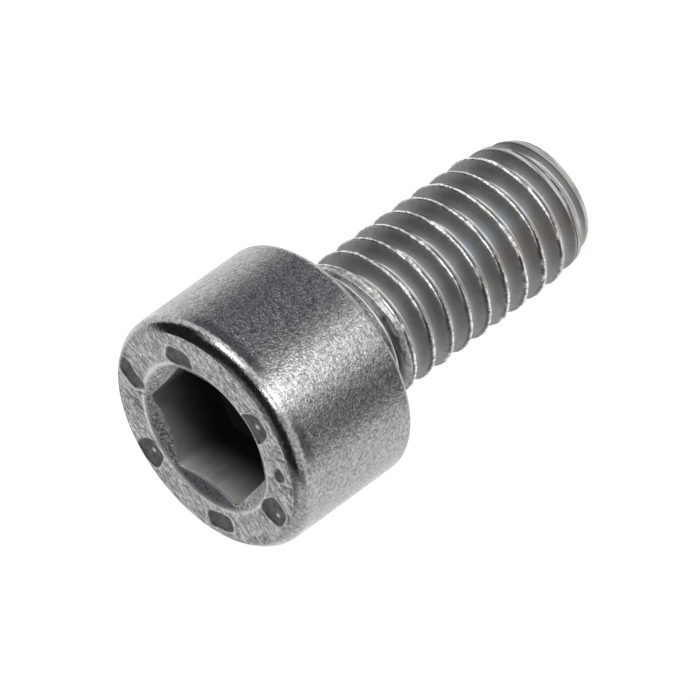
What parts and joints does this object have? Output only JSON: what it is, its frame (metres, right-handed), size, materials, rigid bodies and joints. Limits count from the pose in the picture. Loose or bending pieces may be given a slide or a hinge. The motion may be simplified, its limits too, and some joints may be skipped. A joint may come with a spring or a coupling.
{
  "type": "socket head bolt",
  "caption": "Short socket head bolt: a round head with a hexagonal drive socket on a fully threaded shank, for fastening with a hexagon key.",
  "frame": {"origin": "centre of the flat face at the threaded end, on the bolt's axis", "axes": "+Z along the bolt's axis from the threaded end to the head's top face; the thread's helix fixes X and Y"},
  "size_m": [0.0098, 0.0098, 0.018],
  "materials": {
    "steel": "satin rolled and turned steel with darkened thread flanks"
  },
  "bodies": {
    "root": {"bolt": "steel"}
  },
  "joints": []
}
